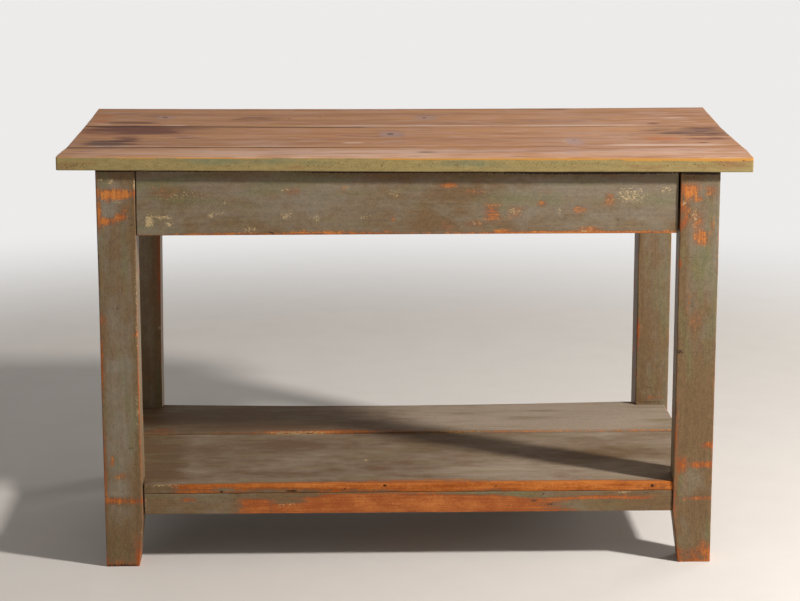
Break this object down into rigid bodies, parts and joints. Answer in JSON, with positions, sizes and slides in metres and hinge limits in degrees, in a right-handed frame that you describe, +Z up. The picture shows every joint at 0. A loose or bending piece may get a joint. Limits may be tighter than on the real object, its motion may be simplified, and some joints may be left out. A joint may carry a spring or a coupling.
{
  "type": "kitchen table",
  "caption": "Painted farmhouse kitchen table with a scrubbed board top, pegged square legs, a low board shelf and a dovetailed drawer in each short end.",
  "frame": {"origin": "on the floor, under the middle of the top", "axes": "+X along the length of the table, -Y towards the front apron, +Z up"},
  "size_m": [1.288, 0.7254, 0.78],
  "materials": {
    "painted_pine": "grey-olive paint worn through to an orange ground coat at the arrises",
    "scrubbed_pine": "scrubbed bare pine with a dull sheen and old stains",
    "bare_pine": "dry unpainted pine",
    "turned_knob": "painted turned beech, rubbed on the rim",
    "iron": "dull rusted iron"
  },
  "bodies": {
    "table": {"apron_back": "painted_pine", "apron_front": "painted_pine", "apron_pegs": "painted_pine", "cross_rail": "bare_pine", "drawer_stops": "bare_pine", "end_rail_drawer_left": "painted_pine", "end_rail_drawer_right": "painted_pine", "end_rail_top_left": "painted_pine", "end_rail_top_right": "painted_pine", "guide_back_left": "bare_pine", "guide_back_right": "bare_pine", "guide_front_left": "bare_pine", "guide_front_right": "bare_pine", "kicker_back_left": "bare_pine", "kicker_back_right": "bare_pine", "kicker_front_left": "bare_pine", "kicker_front_right": "bare_pine", "leg_back_left": "painted_pine", "leg_back_right": "painted_pine", "leg_front_left": "painted_pine", "leg_front_right": "painted_pine", "runner_back_left": "bare_pine", "runner_back_right": "bare_pine", "runner_front_left": "bare_pine", "runner_front_right": "bare_pine", "shelf_batten": "bare_pine", "shelf_board_back": "painted_pine", "shelf_board_front": "painted_pine", "shelf_nails": "iron", "shelf_pegs": "painted_pine", "shelf_rail_back": "painted_pine", "shelf_rail_front": "painted_pine", "stretcher_left": "painted_pine", "stretcher_right": "painted_pine", "top_board_back": "scrubbed_pine", "top_board_front": "scrubbed_pine", "top_board_middle": "scrubbed_pine", "top_nails": "iron"},
    "drawer_left": {"drawer_left_back": "bare_pine", "drawer_left_bottom": "bare_pine", "drawer_left_front": "painted_pine", "drawer_left_knob": "turned_knob", "drawer_left_pins": "iron", "drawer_left_side_back": "bare_pine", "drawer_left_side_front": "bare_pine"},
    "drawer_right": {"drawer_right_back": "bare_pine", "drawer_right_bottom": "bare_pine", "drawer_right_front": "painted_pine", "drawer_right_knob": "turned_knob", "drawer_right_pins": "iron", "drawer_right_side_back": "bare_pine", "drawer_right_side_front": "bare_pine"}
  },
  "joints": [
    {"name": "drawer_left_slide", "type": "slide", "parent": "table", "child": "drawer_left", "axis": [-1, 0, 0], "range_m": [0, 0.34]},
    {"name": "drawer_right_slide", "type": "slide", "parent": "table", "child": "drawer_right", "axis": [1, 0, 0], "range_m": [0, 0.34]}
  ]
}
